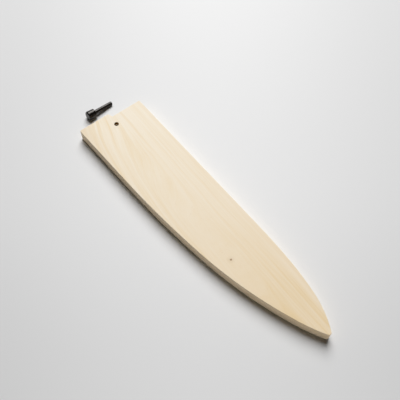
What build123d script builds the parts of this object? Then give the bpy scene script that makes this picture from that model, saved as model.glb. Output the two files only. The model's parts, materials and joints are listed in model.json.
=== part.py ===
from build123d import *
import os
from math import atan2, cos, degrees, sin, sqrt

# Wooden sheath for a 240 mm chef's knife, with its loose locking pin, in millimetres.
# X runs from the mouth to the tip, Y from the blade's edge to its spine, Z up.
# The origin is on the pin hole's axis, at the underside.

# Sheath, measured to the sharp corners that its outline has before they are rounded
sheath_length = 264.5
sheath_width = 60.1
board_thickness = 3.2
slot_thickness = 4.4
spine_wall = 5.0
edge_wall = 5.5
slot_tip_radius = 3.0
edge_bevel = 0.3
corner_radius = 1.2
tip_radius = 2.0

# The mouth's heel half stands out past its spine half
mouth_step = 4.6
step_slant = 1.5
step_radius = 0.9
mouth_ease = 0.7
step_place_share = 0.492

# Outline: shares of the length from the mouth and of the width from the edge side
spine_shares = ((0.629, 1.0), (0.758, 0.982), (0.876, 0.92))
edge_shares = ((0.261, 0.035), (0.594, 0.154), (0.909, 0.507))
tip_place_share = 0.704

# Pin hole, through both boards
hole_diameter = 4.0
hole_from_mouth = 13.8
hole_from_spine = 31.0

# Turned locking pin, whose tapered shank wedges in the hole
pin_head_diameter = 8.5
pin_shoulder_diameter = 7.6
pin_head_length = 7.6
pin_head_bevel = 0.9
pin_tip_bevel = 0.4
pin_rim_radius = 0.2
pin_spare_length = 8.1
pin_tip_clearance = 0.3
pin_wedge = 0.1

# Where the pin lies, beside the mouth
pin_gap = 9.4
pin_from_edge_side = 15.7
pin_turn = -3.3

# How far cutting bodies run past what they cut
overrun = 20.0

sheath_thickness = 2 * board_thickness + slot_thickness
mouth_x = -hole_from_mouth
spine_mouth_x = mouth_x + mouth_step
spine_y = hole_from_spine
edge_y = spine_y - sheath_width
step_y = edge_y + step_place_share * sheath_width
tip_y = edge_y + tip_place_share * sheath_width
cutter_size = sheath_length + 2 * overrun

pin_head = pin_head_diameter / 2
pin_shoulder = pin_shoulder_diameter / 2
pin_neck = (hole_diameter + pin_wedge) / 2
pin_tip = (hole_diameter - pin_tip_clearance) / 2
pin_length = pin_head_length + sheath_thickness + pin_spare_length


def place(length_share, width_share):
    """Point of the outline at shares of the length and the width."""
    return (mouth_x + length_share * sheath_length, edge_y + width_share * sheath_width)


def side_curves(start, shares):
    """One side of the outline: a straight run from the mouth, then arcs that run on into each other."""
    points = [place(*share) for share in shares] + [place(1, tip_place_share)]
    curves = [Line(start, points[0])]
    for begin, end in zip(points, points[1:]):
        curves.append(TangentArc(begin, end, tangent=curves[-1] % 1))
    return curves


def outline_face(open_mouth):
    """Face inside the outline: with the stepped mouth, or with the mouth run out for a cutter."""
    if open_mouth:
        far_x = mouth_x - overrun
        mouth = Polyline(place(0, 0), (far_x, edge_y), (far_x, spine_y), (spine_mouth_x, spine_y))
    else:
        heel_step = (mouth_x, step_y)
        spine_step = (spine_mouth_x, step_y + step_slant)
        mouth = Polyline(place(0, 0), heel_step, spine_step, (spine_mouth_x, spine_y))
    spine_side = side_curves((spine_mouth_x, spine_y), spine_shares)
    edge_side = side_curves(place(0, 0), edge_shares)
    return make_face(spine_side + edge_side + [mouth])


def upright_edges(solid, x, y):
    """The solid's vertical edge nearest to x, y."""
    uprights = solid.edges().filter_by(Axis.Z)
    return uprights.sort_by(lambda edge: (edge.center() - Vector(x, y, edge.center().Z)).length)[:1]


def sheath_blank():
    """The whole sheath as one solid block, with its corners rounded and its rims bevelled."""
    blank = extrude(outline_face(False), sheath_thickness)
    rounds = (
        (mouth_x, edge_y, corner_radius),
        (spine_mouth_x, spine_y, corner_radius),
        (mouth_x, step_y, step_radius),
        (spine_mouth_x, step_y + step_slant, step_radius),
        (mouth_x + sheath_length, tip_y, tip_radius),
    )
    for x, y, radius in rounds:
        blank = fillet(upright_edges(blank, x, y), radius)
    faces = blank.faces().sort_by(Axis.Z)
    return chamfer(faces[0].edges() + faces[-1].edges(), edge_bevel)


def layer(z_low, z_high):
    """Slab that covers the whole sheath between two heights."""
    slab = Box(cutter_size, cutter_size, z_high - z_low, align=(Align.MIN, Align.CENTER, Align.MIN))
    return Pos(mouth_x - overrun, 0, z_low) * slab


def slot_body():
    """The blade's slot, open at the mouth: inside both walls, with a round end at the tip."""
    under_spine = Pos(0, -spine_wall, 0) * outline_face(True)
    over_edge = Pos(0, edge_wall, 0) * outline_face(True)
    slot = extrude((under_spine & over_edge).face(), sheath_thickness)
    return fillet(upright_edges(slot, mouth_x + sheath_length, tip_y), slot_tip_radius)


def ease_bar(x, y_low, y_high, z):
    """Square bar on edge, centred on a mouth edge, that takes off its arris."""
    side = sqrt(2) * mouth_ease
    return Pos(x, (y_low + y_high) / 2, z) * Rot(Y=45) * Box(side, y_high - y_low, side)


def board(blank, z_low, inner_z):
    """One face board: its layer of the blank, drilled for the pin and eased at the slot's mouth."""
    piece = blank & layer(z_low, z_low + board_thickness)
    drill = Cylinder(hole_diameter / 2, sheath_thickness, align=(Align.CENTER, Align.CENTER, Align.MIN))
    piece -= drill
    slot_low = edge_y + edge_wall
    slot_high = spine_y - spine_wall
    piece -= ease_bar(mouth_x, slot_low, step_y - step_radius, inner_z)
    piece -= ease_bar(spine_mouth_x, step_y + step_slant + step_radius, slot_high, inner_z)
    return piece.solid()


def core_strip(blank, side):
    """The core's spine strip (side 1) or edge strip (side -1); the two meet at the tip."""
    core = blank & layer(board_thickness, board_thickness + slot_thickness)
    from_tip_line = Align.MIN if side > 0 else Align.MAX
    half = Box(cutter_size, cutter_size, cutter_size, align=(Align.MIN, from_tip_line, Align.CENTER))
    return ((core - slot_body()) & (Pos(mouth_x - overrun, tip_y, 0) * half)).solid()


def locking_pin():
    """The pin along X, its head's end at the origin, turned from one rod."""
    profile = make_face(
        Polyline(
            (0, 0),
            (0, pin_head - pin_head_bevel),
            (pin_head_bevel, pin_head),
            (pin_head_length, pin_shoulder),
            (pin_head_length, pin_neck),
            (pin_length - pin_tip_bevel, pin_tip),
            (pin_length, pin_tip - pin_tip_bevel),
            (pin_length, 0),
            close=True,
        )
    )
    pin = revolve(profile, Axis.X)
    rims = pin.edges().filter_by(GeomType.CIRCLE).filter_by(lambda rim: rim.radius > pin_neck)
    return fillet(rims, pin_rim_radius)


def lying_pin():
    """The pin on its side on the surface, resting on its head and on the rim of its tip."""
    tip_rim = pin_length - pin_tip_bevel
    tilt_on_head = atan2(pin_head - pin_tip, tip_rim - pin_head_bevel)
    tilt_on_shoulder = atan2(pin_shoulder - pin_tip, tip_rim - pin_head_length)
    tilt = max(tilt_on_head, tilt_on_shoulder)
    height = pin_tip * cos(tilt) + tip_rim * sin(tilt)
    x = mouth_x - pin_gap - pin_head
    y = edge_y + pin_from_edge_side
    return Pos(x, y, height) * Rot(Z=90 - pin_turn) * Rot(Y=degrees(tilt)) * locking_pin()


blank = sheath_blank()
pieces = {
    "back_board": board(blank, 0, board_thickness),
    "spine_strip": core_strip(blank, 1),
    "edge_strip": core_strip(blank, -1),
    "front_board": board(blank, board_thickness + slot_thickness, board_thickness + slot_thickness),
    "locking_pin": lying_pin(),
}
os.makedirs("parts", exist_ok=True)
for name, piece in pieces.items():
    export_step(piece, "parts/" + name + ".step")
    box = piece.bounding_box()
    print(name, "volume", round(piece.volume, 1), "low", box.min, "high", box.max)
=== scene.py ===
import json
from math import atan2, cos, radians, sin, sqrt

import bpy
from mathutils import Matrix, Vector

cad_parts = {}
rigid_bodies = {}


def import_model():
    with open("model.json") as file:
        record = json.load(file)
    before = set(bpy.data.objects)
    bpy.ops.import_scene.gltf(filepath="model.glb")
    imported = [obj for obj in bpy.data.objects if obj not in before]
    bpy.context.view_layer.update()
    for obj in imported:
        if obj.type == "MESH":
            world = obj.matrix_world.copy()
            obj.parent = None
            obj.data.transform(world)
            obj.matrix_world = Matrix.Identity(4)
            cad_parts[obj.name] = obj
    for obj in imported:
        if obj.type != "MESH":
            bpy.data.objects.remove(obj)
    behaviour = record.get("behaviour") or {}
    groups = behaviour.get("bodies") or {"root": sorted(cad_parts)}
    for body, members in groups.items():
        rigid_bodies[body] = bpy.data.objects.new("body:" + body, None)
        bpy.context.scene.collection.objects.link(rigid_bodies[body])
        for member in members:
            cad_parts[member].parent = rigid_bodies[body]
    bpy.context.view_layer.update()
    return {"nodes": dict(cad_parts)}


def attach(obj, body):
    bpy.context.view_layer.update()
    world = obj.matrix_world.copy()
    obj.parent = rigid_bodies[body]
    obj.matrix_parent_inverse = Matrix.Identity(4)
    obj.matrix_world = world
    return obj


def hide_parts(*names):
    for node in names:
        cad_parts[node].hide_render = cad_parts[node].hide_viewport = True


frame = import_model()

# Lower face board
# A thin board of pale magnolia, sawn along the grain and planed. It is glued under the core strips,
# and drilled with the pin hole after gluing.

mm = 0.001
same_place = 0.001
same_level = 0.01
flat_turn = radians(0.05)
wood_sharpness = radians(40)

top_height = 10.8
glue_heights = (3.2, 7.6)
mouth_x = -13.8
spine_mouth_x = -9.2
heel_slot = (-23.6, -0.43)
spine_slot = (2.87, 26.0)
ease = 0.7
cad_bevel = 0.3
arris_round = 0.36
under_round = 0.24
arris_segments = 4

hole_radius = 2.0
hole_sides = 64
rim_round = 0.16
rim_steps = 3
rim_flare = radians(20)
bit_overrun = 1.0


def deselect_all():
    for each in bpy.context.view_layer.objects:
        each.select_set(False)


def choose(piece):
    """Makes the piece the only selected object."""
    deselect_all()
    piece.select_set(True)
    bpy.context.view_layer.objects.active = piece


def start_edit(piece):
    """Opens the piece in edit mode with nothing of it selected."""
    choose(piece)
    bpy.ops.object.mode_set(mode="EDIT")
    bpy.ops.mesh.select_mode(type="VERT")
    bpy.ops.mesh.select_all(action="DESELECT")


def select_faces(piece, wanted):
    """Selects the faces whose centre, in millimetres, and normal pass the test, in edit mode."""
    bpy.ops.mesh.select_mode(type="FACE")
    bpy.ops.mesh.select_all(action="DESELECT")
    bpy.ops.object.mode_set(mode="OBJECT")
    for face in piece.data.polygons:
        face.select = wanted(face.center / mm, face.normal)
    bpy.ops.object.mode_set(mode="EDIT")


def select_sharp(piece, wanted, sharpness):
    """Selects the sharp edges whose two ends, in millimetres, pass the test, in edit mode."""
    bpy.ops.mesh.select_mode(type="EDGE")
    bpy.ops.mesh.select_all(action="DESELECT")
    bpy.ops.mesh.edges_select_sharp(sharpness=sharpness)
    bpy.ops.object.mode_set(mode="OBJECT")
    corners = piece.data.vertices
    for edge in piece.data.edges:
        ends = [corners[i].co / mm for i in edge.vertices]
        if edge.select and not wanted(*ends):
            edge.select = False
    bpy.ops.object.mode_set(mode="EDIT")


def select_points(piece, wanted):
    """Selects the points whose place, in millimetres, passes the test, in edit mode."""
    bpy.ops.mesh.select_mode(type="VERT")
    bpy.ops.mesh.select_all(action="DESELECT")
    bpy.ops.object.mode_set(mode="OBJECT")
    for point in piece.data.vertices:
        point.select = wanted(point.co / mm)
    bpy.ops.object.mode_set(mode="EDIT")


def select_ends(piece, wanted):
    """Selects the edges whose two ends, in millimetres, both pass the test, in edit mode."""
    bpy.ops.mesh.select_mode(type="EDGE")
    bpy.ops.mesh.select_all(action="DESELECT")
    bpy.ops.object.mode_set(mode="OBJECT")
    corners = piece.data.vertices
    for edge in piece.data.edges:
        edge.select = all(wanted(corners[i].co / mm) for i in edge.vertices)
    bpy.ops.object.mode_set(mode="EDIT")


def join_flat_faces():
    bpy.ops.mesh.select_all(action="SELECT")
    bpy.ops.mesh.dissolve_limited(angle_limit=flat_turn)


def merged_copy(node, name):
    """A copy of a CAD node with its loose triangles joined into whole faces."""
    piece = bpy.data.objects.new(name, frame["nodes"][node].data.copy())
    bpy.context.scene.collection.objects.link(piece)
    piece.data.materials.clear()
    start_edit(piece)
    bpy.ops.mesh.select_all(action="SELECT")
    bpy.ops.mesh.remove_doubles(threshold=same_place * mm)
    join_flat_faces()
    bpy.ops.object.mode_set(mode="OBJECT")
    return piece


def draw_out(length, wider):
    """Extrudes the selected end face along Z and scales its new end."""
    bpy.ops.mesh.extrude_region_move(TRANSFORM_OT_translate={"value": (0, 0, length * mm)})
    bpy.ops.transform.resize(value=(wider, wider, 1), center_override=(0, 0, 0))


def pin_bit(low, high):
    """The drill for the pin hole, flared at both ends so that it also takes the rims off round."""
    swing = radians(90) - rim_flare
    turns = [rim_flare + swing * step / rim_steps for step in range(rim_steps + 1)]
    radii = [hole_radius + rim_round * (1 - sin(turn)) for turn in turns]
    depths = [rim_round * (1 - cos(turn)) for turn in turns]
    radii.insert(0, radii[0] + rim_round * cos(rim_flare))
    depths.insert(0, depths[0] - rim_round * sin(rim_flare))
    bpy.ops.mesh.primitive_cylinder_add(
        vertices=hole_sides,
        radius=radii[0] * mm,
        depth=bit_overrun * mm,
        end_fill_type="NGON",
        location=(0, 0, (low + depths[0] - bit_overrun / 2) * mm),
    )
    bit = bpy.context.object
    bpy.ops.object.transform_apply(location=True)
    start_edit(bit)
    select_faces(bit, lambda centre, normal: normal.z > 0.9)
    for i in range(rim_steps + 1):
        draw_out(depths[i + 1] - depths[i], radii[i + 1] / radii[i])
    draw_out(high - low - 2 * depths[-1], 1)
    for i in range(rim_steps + 1, 0, -1):
        draw_out(depths[i] - depths[i - 1], radii[i - 1] / radii[i])
    draw_out(bit_overrun, 1)
    bpy.ops.object.mode_set(mode="OBJECT")
    return bit


def smooth(piece, angle):
    """Shades the piece smooth except over sharp edges, with its large faces kept flat."""
    choose(piece)
    bpy.ops.object.shade_smooth_by_angle(angle=angle)
    weighted = piece.modifiers.new("weighted", "WEIGHTED_NORMAL")
    weighted.keep_sharp = True
    weighted.weight = 100
    bpy.ops.object.modifier_apply(modifier=weighted.name)


def cut(piece, cutter):
    """Takes the cutter's shape out of the piece and throws the cutter away."""
    choose(piece)
    cutting = piece.modifiers.new("cutting", "BOOLEAN")
    cutting.operation = "DIFFERENCE"
    cutting.solver = "EXACT"
    cutting.object = cutter
    bpy.ops.object.modifier_apply(modifier=cutting.name)
    bpy.data.objects.remove(cutter)


def easing_bar(x, y_low, y_high, z):
    """A square bar on edge that takes the arris off a mouth edge."""
    side = ease * sqrt(2) * mm
    bpy.ops.mesh.primitive_cube_add(
        size=1,
        location=(x * mm, (y_low + y_high) / 2 * mm, z * mm),
        rotation=(0, radians(45), 0),
        scale=(side, (y_high - y_low) * mm, side),
    )
    bpy.ops.object.transform_apply(location=True, rotation=True, scale=True)
    return bpy.context.object


def make_board(node, name, low, high, outer):
    """Saws a face board to its node's outline, rounds its outer arris, and bores and eases it."""
    piece = merged_copy(node, name)
    start_edit(piece)
    ring = outer + (cad_bevel if outer == low else -cad_bevel)
    select_points(piece, lambda point: abs(point.z - ring) > same_level)
    bpy.ops.mesh.delete(type="VERT")
    bpy.ops.mesh.select_all(action="SELECT")
    bpy.ops.mesh.edge_face_add()
    bpy.ops.transform.translate(value=(0, 0, (low - ring) * mm))
    bpy.ops.mesh.extrude_region_move(TRANSFORM_OT_translate={"value": (0, 0, (high - low) * mm)})
    bpy.ops.mesh.select_all(action="SELECT")
    bpy.ops.mesh.normals_make_consistent(inside=False)
    select_ends(piece, lambda point: abs(point.z - outer) < same_level)
    rounded = arris_round if outer == high else under_round
    bpy.ops.mesh.bevel(
        offset=rounded * mm,
        offset_type="OFFSET",
        segments=arris_segments,
        profile=0.5,
    )
    bpy.ops.object.mode_set(mode="OBJECT")
    inner = low + high - outer
    cut(piece, pin_bit(low, high))
    cut(piece, easing_bar(mouth_x, *heel_slot, inner))
    cut(piece, easing_bar(spine_mouth_x, *spine_slot, inner))
    smooth(piece, wood_sharpness)
    return piece


class Wire:
    """A socket of a material's nodes, on which maths is written as plain expressions."""

    def __init__(self, tree, socket=None):
        self.tree = tree
        self.socket = socket

    def node(self, kind, settings, inputs, output=0):
        made = self.tree.nodes.new("ShaderNode" + kind)
        for name, value in settings.items():
            setattr(made, name, value)
        for name, value in inputs.items():
            if isinstance(value, Wire):
                self.tree.links.new(value.socket, made.inputs[name])
            else:
                made.inputs[name].default_value = value
        return Wire(self.tree, made.outputs[output])

    def math(self, operation, first, second=0.0):
        return self.node("Math", {"operation": operation}, {0: first, 1: second})

    def __add__(self, other):
        return self.math("ADD", self, other)

    def __radd__(self, other):
        return self.math("ADD", other, self)

    def __sub__(self, other):
        return self.math("SUBTRACT", self, other)

    def __rsub__(self, other):
        return self.math("SUBTRACT", other, self)

    def __mul__(self, other):
        return self.math("MULTIPLY", self, other)

    def __rmul__(self, other):
        return self.math("MULTIPLY", other, self)

    def __truediv__(self, other):
        return self.math("DIVIDE", self, other)

    def __pow__(self, other):
        return self.math("POWER", self, other)

    def size(self):
        return self.math("ABSOLUTE", self)

    def root(self):
        return self.math("SQRT", self)

    def part(self):
        return self.math("FRACT", self)

    def soft_step(self, low, high):
        """0 below low, 1 above high, smooth between; falls instead of rising where low is above high."""
        settings = {"interpolation_type": "SMOOTHSTEP"}
        if low < high:
            limits = {"From Min": low, "From Max": high, "To Min": 0.0, "To Max": 1.0}
        else:
            limits = {"From Min": high, "From Max": low, "To Min": 1.0, "To Max": 0.0}
        return self.node("MapRange", settings, {"Value": self} | limits)

    def split(self):
        """The three numbers that a vector holds."""
        return [self.node("SeparateXYZ", {}, {0: self}, output=i) for i in range(3)]

    def noise(self, x, y, z, detail=2.0, roughness=0.5):
        """Noise from 0 to 1 about 0.5 at a place."""
        place = self.node("CombineXYZ", {}, {0: x, 1: y, 2: z})
        inputs = {"Vector": place, "Scale": 1.0, "Detail": detail, "Roughness": roughness}
        return self.node("TexNoise", {"noise_dimensions": "3D"}, inputs)

    def blend(self, amount, first, second):
        """The second colour laid on the first by an amount."""
        return self.node("Mix", {"data_type": "RGBA"}, {0: amount, 6: first, 7: second}, output=2)


def new_material(name):
    """A new material with its maths start, its shader, and the place on the piece in millimetres."""
    material = bpy.data.materials.new(name)
    material.use_nodes = True
    start = Wire(material.node_tree)
    shader = material.node_tree.nodes["Principled BSDF"]
    place = start.node("TexCoord", {}, {}, output="Object")
    scaled = start.node("VectorMath", {"operation": "SCALE"}, {"Vector": place, "Scale": 1 / mm})
    return material, start, shader, scaled.split()


def connect(wire, shader, name):
    wire.tree.links.new(wire.socket, shader.inputs[name])


def add_bump(start, shader, height, depth, strength):
    bump = start.node("Bump", {}, {"Height": height, "Distance": depth * mm, "Strength": strength})
    connect(bump, shader, "Normal")


log_drop = 0.8
log_slant = 0.02
wander_width, ripple_width = 5.0, 1.6
knot_spread = (7.0, 2.2)
knot_push = 1.3
ring_weight, band_weight, streak_weight, fine_weight = 0.34, 0.42, 0.75, 0.25
tone_start, tone_length = -13.0, 262.0
worn_reach = 30.0

pore_brown = (0.55, 0.38, 0.20, 1)
end_brown = (0.46, 0.33, 0.19, 1)
glue_brown = (0.36, 0.24, 0.12, 1)
worn_tan = (0.72, 0.57, 0.38, 1)
# The bore's wall, and painted shade for the inside of the slot round the bore
bore_wall_brown = (0.45, 0.28, 0.08, 1)
painted_slot_shade_brown = (0.07, 0.03, 0.01, 1)
knot_rim_brown = (0.60, 0.44, 0.26, 1)
knot_heart_brown = (0.26, 0.13, 0.035, 1)


def wood(name, pith_y, pith_z, ring_width, seed, tone, side_tone_and_shade, sweep=0.0, knots=()):
    """Magnolia with growth rings about the log's pith, which runs along X beside the board."""
    material, start, shader, (x, y, z) = new_material(name)
    face_x, _, face_z = start.node("TexCoord", {}, {}, output="Normal").split()

    # The rings, which waver along the log and are pushed aside by its knots
    log_z = z - log_drop
    wander = start.noise(x / 120 + seed, y / 40, log_z / 40, detail=1.0)
    ripple = start.noise(x / 34, y / 11 + seed, log_z / 11, detail=2.0)
    near_mouth = start.math("EXPONENT", (mouth_x - x) / 55)
    swept = (1 - near_mouth) * y.soft_step(10.0, -18.0) * sweep
    across = y - pith_y + x * log_slant + swept
    across = across + (wander - 0.5) * wander_width + (ripple - 0.5) * ripple_width
    for knot_x, knot_y, knot_size in knots:
        along = (x - knot_x) / (knot_spread[0] * knot_size)
        aside = (y - knot_y) / (knot_spread[1] * knot_size)
        spread = start.math("EXPONENT", 0 - along * along - aside * aside)
        across = across - aside * spread * knot_push * knot_size
    above = log_z - pith_z
    radius = (across * across + above * above).root()
    rings = radius / ring_width
    late = rings.part() ** 4
    fade = (1 - rings.part()).soft_step(0.0, 0.12)
    year = start.noise((rings - rings.part()) * 0.71, seed, 2.0, detail=0.0)
    ring_mark = late * fade * year

    # The finer figure, long with the grain and narrow across it
    band = start.noise(x / 110 + seed, across * 0.16, log_z * 0.16, detail=2.0, roughness=0.6)
    streak = start.noise(x / 75 + seed, across * 0.6, log_z * 0.6, detail=4.0, roughness=0.62)
    fibre = start.noise(x / 8, across * 4.5, log_z * 4.5, detail=3.0, roughness=0.65)
    pore = start.noise(x / 2.4, across * 9, log_z * 9 + seed, detail=1.0)
    pores = pore.soft_step(0.66, 0.78)
    cloud = start.noise(x / 90, y / 22, log_z / 22 + seed, detail=2.0)

    # The planed face, with its figure clearer at the heel and towards the tip
    pale, deep, tip_pale = tone
    along_board = (x - tone_start) / tone_length
    ground = start.blend(along_board.soft_step(0.0, 1.0), pale, tip_pale)
    heel = near_mouth * y.soft_step(8.0, -8.0)
    clearer = 1 + heel * 0.8 + x.soft_step(110.0, 220.0) * 0.7
    marked = ring_mark * ring_weight + (band - 0.5) * band_weight + (streak - 0.5) * streak_weight
    darker = marked * clearer + (fibre - 0.5) * fine_weight + (cloud - 0.5) * fine_weight
    darker = darker + heel * 0.09 + x.soft_step(222.0, 246.0) * 0.08
    colour = start.blend(darker.soft_step(-0.4, 1.1), ground, deep)
    colour = start.blend(pores * 0.12, colour, pore_brown)

    # End grain, sanded sides with painted shade in their colour (darker towards the heel and darker on
    # the upper board than on the lower), glue lines and the worn corner of the heel
    end_grain = face_x.size().soft_step(0.55, 0.95)
    colour = start.blend(end_grain * 0.42, colour, end_brown)
    side = 1 - face_z.size().soft_step(0.3, 0.75)
    heel_side_and_shade, tip_side_and_shade, side_and_shade_amount = side_tone_and_shade
    side_and_shade = start.blend(along_board.soft_step(-0.1, 0.7), heel_side_and_shade, tip_side_and_shade)
    colour = start.blend(side * side_and_shade_amount, colour, side_and_shade)
    glue = 0.0
    for height in glue_heights:
        glue = (z - height).size().soft_step(0.09, 0.04) + glue
    colour = start.blend(glue * side * 0.45, colour, glue_brown)
    worn = start.math("EXPONENT", (mouth_x - x) / worn_reach) * y.soft_step(-13.0, -29.0)
    colour = start.blend(worn * 0.6, colour, worn_tan)

    # The bore's wall in brown, and painted shade round it inside the slot, which darkens the hole
    from_bore = (x * x + y * y).root()
    inside = 1 - (z - top_height / 2).size().soft_step(5.0, 5.2)
    bore_wall_and_slot_shade = start.blend(from_bore.soft_step(2.1, 2.5), bore_wall_brown, painted_slot_shade_brown)
    painted_slot_shade = from_bore.soft_step(5.8, 4.0) * inside
    colour = start.blend(painted_slot_shade * 0.9, colour, bore_wall_and_slot_shade)

    rough = 0.60 + (fibre - 0.5) * 0.16 + end_grain * 0.14 + painted_slot_shade * 0.3
    for knot_x, knot_y, knot_size in knots:
        away_x = x - knot_x
        away_y = y - knot_y
        wobble = start.noise(x * 1.4, y * 1.4, log_z, detail=2.0)
        away = (away_x * away_x + away_y * away_y).root() + (wobble - 0.5) * 0.7 * knot_size
        halo = away.soft_step(3.4 * knot_size, 0.9 * knot_size)
        heart = away.soft_step(0.85 * knot_size, 0.45 * knot_size)
        colour = start.blend(halo * 0.22, colour, knot_rim_brown)
        colour = start.blend(heart * 0.85, colour, knot_heart_brown)
        rough = rough - heart * 0.12

    connect(colour, shader, "Base Color")
    connect(rough, shader, "Roughness")
    shader.inputs["Specular IOR Level"].default_value = 0.35
    height = (fibre - 0.5) * 0.5 + (streak - 0.5) * 0.5 - ring_mark * 0.35 - pores * 0.5
    add_bump(start, shader, height, 0.05, 0.6)
    return material


board_tone = ((0.87, 0.797, 0.675, 1), (0.76, 0.55, 0.25, 1), (0.84, 0.705, 0.52, 1))
# Side colour at heel and tip and how strongly it covers: sanded wood with painted shade, lightest of the
# boards
lower_side_and_shade = ((0.38, 0.295, 0.19, 1), (0.66, 0.53, 0.37, 1), 0.55)
lower_wood = wood("lower_magnolia", 88.0, 60.0, 5.2, 3.1, board_tone, lower_side_and_shade, sweep=12.0)

lower_board = make_board("back_board", "lower_board", 0.0, glue_heights[0], 0.0)
lower_board.data.materials.append(lower_wood)
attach(lower_board, "sheath")
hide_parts("back_board")

# Spine strip
# One of the two strips that keep the face boards apart. It closes the slot along the knife's spine
# and runs on to the tip, glued between the boards.

core_tone = ((0.81, 0.71, 0.55, 1), (0.70, 0.49, 0.21, 1), (0.78, 0.64, 0.43, 1))
# Side colour at heel and tip and how strongly it covers: sanded wood with painted shade, between the two
# boards
core_side_and_shade = ((0.33, 0.25, 0.15, 1), (0.62, 0.48, 0.31, 1), 0.6)
spine_wood = wood("spine_magnolia", 70.0, -20.0, 4.1, 7.7, core_tone, core_side_and_shade)

spine_core = merged_copy("spine_strip", "spine_core")
smooth(spine_core, wood_sharpness)
spine_core.data.materials.append(spine_wood)
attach(spine_core, "sheath")
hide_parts("spine_strip")

# Edge strip
# The strip on the side of the blade's cutting edge, curved like the edge. It meets the spine strip
# at the tip and is glued in with it.

edge_wood = wood("edge_magnolia", -82.0, 24.0, 4.6, 12.4, core_tone, core_side_and_shade)

edge_core = merged_copy("edge_strip", "edge_core")
smooth(edge_core, wood_sharpness)
edge_core.data.materials.append(edge_wood)
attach(edge_core, "sheath")
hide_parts("edge_strip")

# Upper face board
# The face that shows: the same pale magnolia, planed and sanded fine with its edges eased. It has one
# pin knot towards the tip and the round hole for the locking pin near the mouth.

upper_knot = (160.65, -4.9, 1.25)
# Side colour at heel and tip and how strongly it covers: sanded wood with painted shade, darkest of the
# boards
upper_side_and_shade = ((0.32, 0.24, 0.145, 1), (0.60, 0.465, 0.31, 1), 0.68)
upper_wood = wood(
    "upper_magnolia", -96.0, -40.0, 6.2, 0.6, board_tone, upper_side_and_shade, sweep=20.0, knots=(upper_knot,)
)

upper_board = make_board("front_board", "upper_board", glue_heights[1], top_height, top_height)
upper_board.data.materials.append(upper_wood)
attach(upper_board, "sheath")
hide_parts("front_board")

# Locking pin
# A peg turned from one rod of ebony: a head with a flat end, and a tapered shank that wedges in the
# hole. It lies on the surface beside the mouth, on its head and on the rim of its tip.

head = 4.25
shoulder = 3.8
neck = 2.05
pin_tip = 1.85
head_length = 7.6
pin_length = 26.5
head_bevel = 0.9
tip_bevel = 0.4
pin_rim_round = 0.16
round_sides = 96
pin_sharpness = radians(25)
ebony_black = (0.004, 0.003, 0.0025, 1)
ebony_brown = (0.016, 0.010, 0.007, 1)

tip_rim = pin_length - tip_bevel
pin_tilt = max(
    atan2(head - pin_tip, tip_rim - head_bevel),
    atan2(shoulder - pin_tip, tip_rim - head_length),
)
pin_turn = radians(93.3)
pin_x, pin_y = -27.45, -13.4
pin_height = pin_tip * cos(pin_tilt) + tip_rim * sin(pin_tilt)
pin_place = Vector((pin_x, pin_y, pin_height)) * mm


def at_height(height):
    """A test for the flat face at a height along the axis."""
    return lambda centre, normal: abs(normal.z) > 0.99 and abs(centre.z - height) < same_level


deselect_all()
bpy.ops.mesh.primitive_cylinder_add(
    vertices=round_sides,
    radius=head * mm,
    depth=(head_length - head_bevel) * mm,
    end_fill_type="NGON",
    location=(0, 0, (head_length + head_bevel) / 2 * mm),
)
ebony_pin = bpy.context.object
ebony_pin.name = "ebony_pin"
bpy.ops.object.transform_apply(location=True)
start_edit(ebony_pin)
select_faces(ebony_pin, at_height(head_length))
bpy.ops.transform.resize(value=(shoulder / head, shoulder / head, 1), center_override=(0, 0, 0))
bpy.ops.mesh.inset(thickness=(shoulder - neck) * mm)
draw_out(tip_rim - head_length, pin_tip / neck)
draw_out(tip_bevel, (pin_tip - tip_bevel) / pin_tip)
select_faces(ebony_pin, at_height(head_bevel))
draw_out(-head_bevel, (head - head_bevel) / head)


def across_axis(a, b):
    return abs(a.z - b.z) < same_place


select_sharp(ebony_pin, across_axis, pin_sharpness)
bpy.ops.mesh.bevel(offset=pin_rim_round * mm, offset_type="OFFSET", segments=3, profile=0.5)
bpy.ops.object.mode_set(mode="OBJECT")
smooth(ebony_pin, radians(35))

ebony_pin.rotation_euler = (0, radians(90), 0)
bpy.ops.object.transform_apply(rotation=True)
ebony_pin.rotation_euler = (0, pin_tilt, pin_turn)
ebony_pin.location = pin_place
bpy.context.view_layer.update()

material, start, shader, (x, y, z) = new_material("ebony")
from_head_x = x - pin_x
from_head_y = y - pin_y
along_pin = from_head_x * cos(pin_turn) + from_head_y * sin(pin_turn)
side_pin = from_head_y * cos(pin_turn) - from_head_x * sin(pin_turn)
grain = start.noise(along_pin / 9, side_pin * 2.6, z * 2.6, detail=4.0, roughness=0.6)
pits = start.noise(along_pin / 1.5, side_pin * 8, z * 8, detail=1.0).soft_step(0.64, 0.78)
turned = start.noise(along_pin * 5, 0.0, 0.0, detail=2.0)
colour = start.blend(grain.soft_step(0.45, 0.75), ebony_black, ebony_brown)
connect(colour, shader, "Base Color")
connect(0.22 + (grain - 0.5) * 0.1 + pits * 0.15, shader, "Roughness")
add_bump(start, shader, (turned - 0.5) * 0.35 + (grain - 0.5) * 0.3 - pits * 0.6, 0.03, 0.5)
shader.inputs["Specular IOR Level"].default_value = 0.4
shader.inputs["Specular Tint"].default_value = (1.0, 0.94, 0.88, 1)

choose(ebony_pin)
bpy.ops.object.transform_apply(location=True, rotation=True, scale=True)
ebony_pin.data.materials.append(material)
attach(ebony_pin, "pin")
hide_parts("locking_pin")

# Floor
# A plain pale matt surface that everything lies on. Its colour holds a painted pool of light: it falls
# off to both sides and is paler towards the far side. It lies a hair below the underside so that the two
# faces don't share a plane.

floor_size = 6
floor_drop = 0.00002
middle_x, middle_y = 107, 19
ahead_x, ahead_y = -0.7807, 0.6249
floor_pale, painted_side_falloff, painted_far_brightening = 0.757, 0.13, 0.062

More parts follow.
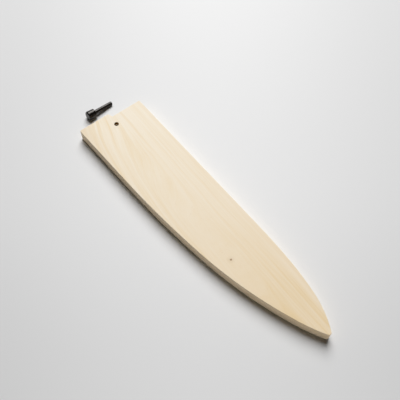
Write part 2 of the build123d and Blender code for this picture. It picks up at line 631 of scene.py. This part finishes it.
deselect_all()
bpy.ops.mesh.primitive_plane_add(size=floor_size, location=(0.1, 0, -floor_drop))
floor = bpy.context.object
floor.name = "floor"
bpy.ops.object.transform_apply(location=True)
material, start, shader, (x, y, _) = new_material("pale_floor")
from_x = x - middle_x
from_y = y - middle_y
aside = from_x * ahead_y - from_y * ahead_x
ahead = from_x * ahead_x + from_y * ahead_y
# Painted pool of light: darker to the sides and paler towards the far side
painted_floor_light = floor_pale - aside.size().soft_step(0.0, 250.0) * painted_side_falloff
painted_floor_light = painted_floor_light + ahead.soft_step(-160.0, 20.0) * painted_far_brightening
connect(painted_floor_light, shader, "Base Color")
shader.inputs["Roughness"].default_value = 0.8
shader.inputs["Specular IOR Level"].default_value = 0.2
floor.data.materials.append(material)

# Light and camera
# One large soft lamp stands beyond the mouth and the spine, and a low pale glow, strongest beyond the
# tip, lifts the walls. The camera looks down as a person standing at the table does.

view_centre = Vector((0.10, 0.01, 0.0))
ground_to_lamp = Vector((-0.7584, 0.6518, 0.0))
lamp_rise = radians(53)
lamp_distance = 2.8
lamp_power = 108
to_lamp = ground_to_lamp * cos(lamp_rise) + Vector((0, 0, sin(lamp_rise)))
lamp_data = bpy.data.lights.new("key_lamp", "AREA")
lamp_data.shape = "ELLIPSE"
lamp_data.size = 2.0
lamp_data.size_y = 2.6
lamp_data.energy = lamp_power
lamp = bpy.data.objects.new("key_lamp", lamp_data)
bpy.context.scene.collection.objects.link(lamp)
lamp.location = view_centre + to_lamp * lamp_distance
lamp.rotation_euler = (-to_lamp).to_track_quat("-Z", "Y").to_euler()

room_white = (0.87, 0.87, 0.87, 1)
glow_flatness, glow_lean, glow_strength = 110, 2, 68.0
mirror_strength = 0.4
world = bpy.data.worlds.new("room")
bpy.context.scene.world = world
world.use_nodes = True
start = Wire(world.node_tree)
seen = start.node("LightPath", {}, {}, output="Is Camera Ray")
mirrored = start.node("LightPath", {}, {}, output="Is Glossy Ray")
backdrop = world.node_tree.nodes["Background"]
backdrop.inputs["Color"].default_value = room_white
east, north, rise = start.node("TexCoord", {}, {}, output="Generated").split()
tip_side = 0.5 + (east * 0.98 - north * 0.2) * 0.5
low_glow = (1 - rise.size()) ** glow_flatness * tip_side ** glow_lean * glow_strength
mirror_light = mirrored * rise.soft_step(0.6, 0.1) * mirror_strength
level = seen + mirror_light + (1 - seen - mirrored) * low_glow
world.node_tree.links.new(level.socket, backdrop.inputs["Strength"])

camera_place = (0.27746, -0.12861, 0.40079)
camera_bearing = Vector((-0.78066535, 0.62494929, 0))
camera_dip = radians(60.5)
camera_data = bpy.data.cameras.new("camera")
camera_data.lens = 50
camera_data.sensor_width = 36
camera = bpy.data.objects.new("camera", camera_data)
bpy.context.scene.collection.objects.link(camera)
camera.location = camera_place
look = camera_bearing * cos(camera_dip) - Vector((0, 0, sin(camera_dip)))
camera.rotation_euler = look.to_track_quat("-Z", "Y").to_euler()
bpy.context.scene.camera = camera
bpy.context.scene.view_settings.view_transform = "Standard"
